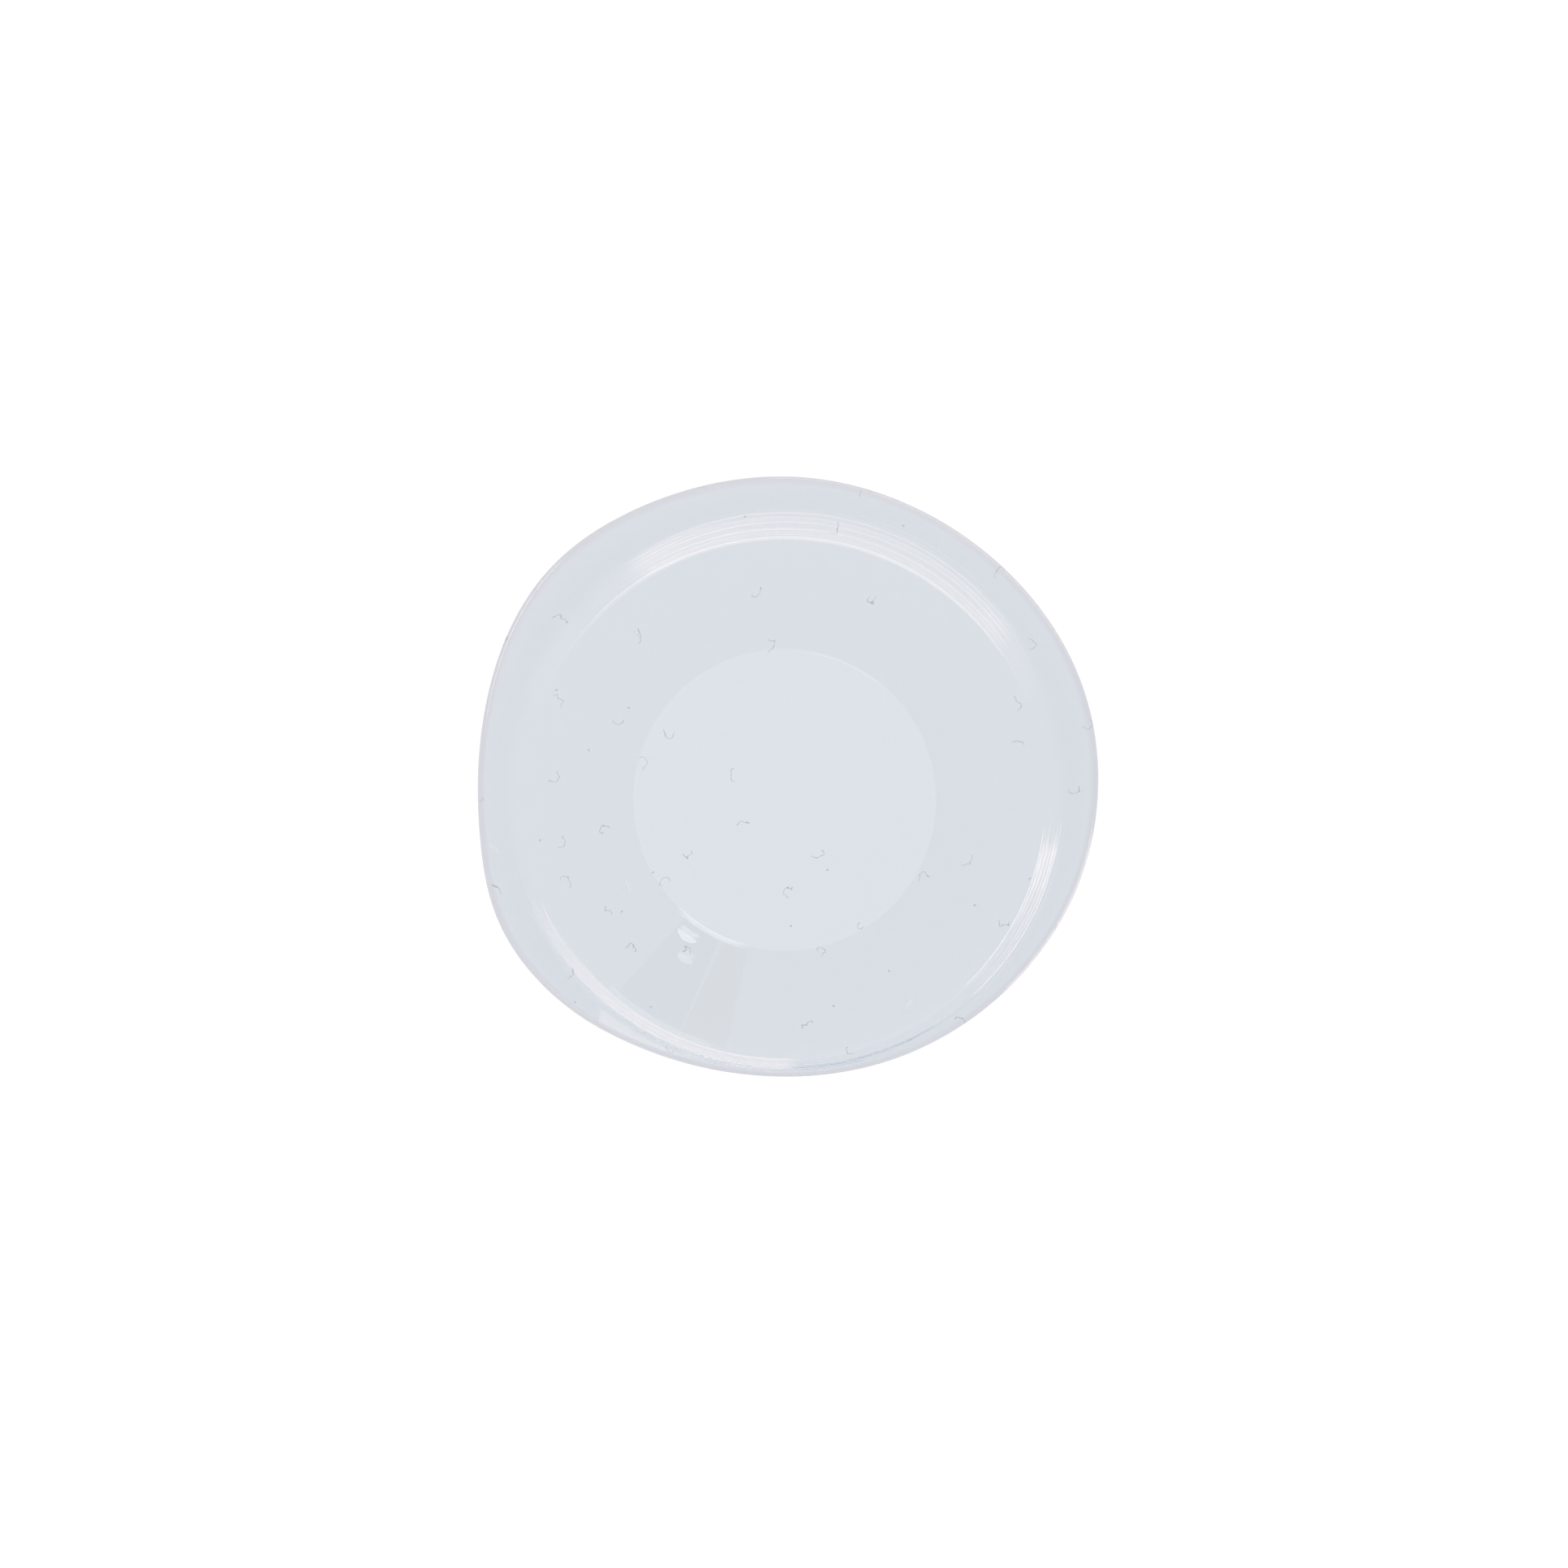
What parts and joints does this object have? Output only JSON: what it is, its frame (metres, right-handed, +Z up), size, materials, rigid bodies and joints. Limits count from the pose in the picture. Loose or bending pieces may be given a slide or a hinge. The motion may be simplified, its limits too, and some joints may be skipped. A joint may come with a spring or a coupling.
{
  "type": "watch glass",
  "caption": "Shallow dish of clear glass with a flat base, a low conical wall, a small step and an uneven fire-polished flange, for evaporating, weighing or covering a beaker.",
  "frame": {"origin": "centre of the base's underside, where the mould's axis meets the surface that the glass rests on", "axes": "+Z up out of the open side of the dish, +Y towards the side the step leans to, where the flange is 5.2 mm wide, -Y towards the side where the flange is narrowest, 0.6 mm"},
  "size_m": [0.0999, 0.0968, 0.0061],
  "materials": {
    "clear_glass": "clear, polished, with a faint blue tint and fine circular draw marks on the step"
  },
  "bodies": {
    "root": {"dish": "clear_glass"}
  },
  "joints": []
}
